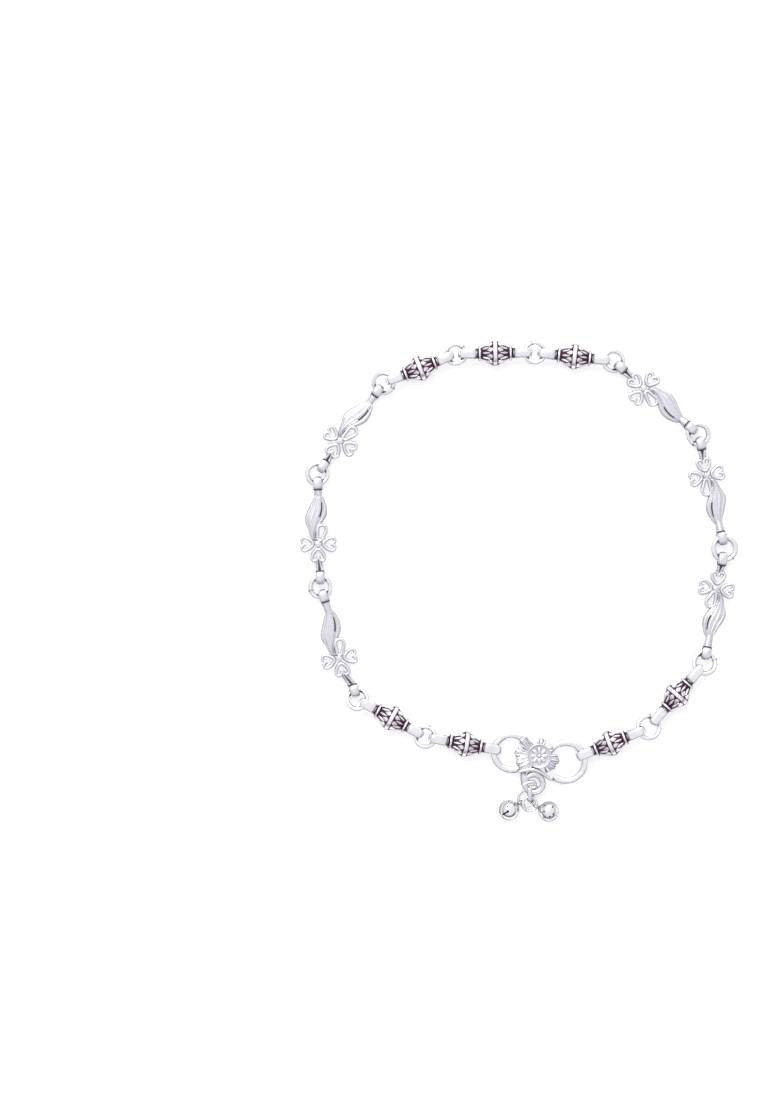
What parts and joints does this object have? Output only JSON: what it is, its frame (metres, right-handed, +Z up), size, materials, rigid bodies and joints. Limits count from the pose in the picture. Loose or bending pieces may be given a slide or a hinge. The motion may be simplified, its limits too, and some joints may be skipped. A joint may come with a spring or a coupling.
{
  "type": "payal anklet",
  "caption": "Silver anklet laid in a closed loop: ribbed oxidised beads and flower-and-leaf links on jump rings, a stamped clasp and two small bells.",
  "frame": {"origin": "on the surface that the anklet lies on, under the middle of its outline", "axes": "+Z up from the surface, +Y from the clasp and bells across to the far beads, +X to the right seen from above"},
  "size_m": [0.0878, 0.0962, 0.0049],
  "materials": {
    "polished_silver": "bright polished sterling silver with a little satin in the cast hollows",
    "oxidised_silver": "silver ribs on a dark purple-brown oxidised ground"
  },
  "bodies": {
    "root": {"bead_1": "oxidised_silver", "bead_2": "oxidised_silver", "bead_3": "oxidised_silver", "bead_4": "oxidised_silver", "bead_5": "oxidised_silver", "bead_6": "oxidised_silver", "bead_7": "oxidised_silver", "flower_link_1": "polished_silver", "flower_link_2": "polished_silver", "flower_link_3": "polished_silver", "flower_link_4": "polished_silver", "flower_link_5": "polished_silver", "flower_link_6": "polished_silver", "jump_ring_1": "polished_silver", "jump_ring_2": "polished_silver", "jump_ring_3": "polished_silver", "jump_ring_4": "polished_silver", "jump_ring_5": "polished_silver", "jump_ring_6": "polished_silver", "jump_ring_7": "polished_silver", "jump_ring_8": "polished_silver", "jump_ring_9": "polished_silver", "jump_ring_10": "polished_silver", "jump_ring_11": "polished_silver", "jump_ring_12": "polished_silver", "clasp": "polished_silver", "bell_ring_1": "polished_silver", "bell_ring_2": "polished_silver", "bell_1": "polished_silver", "bell_2": "polished_silver"}
  },
  "joints": []
}
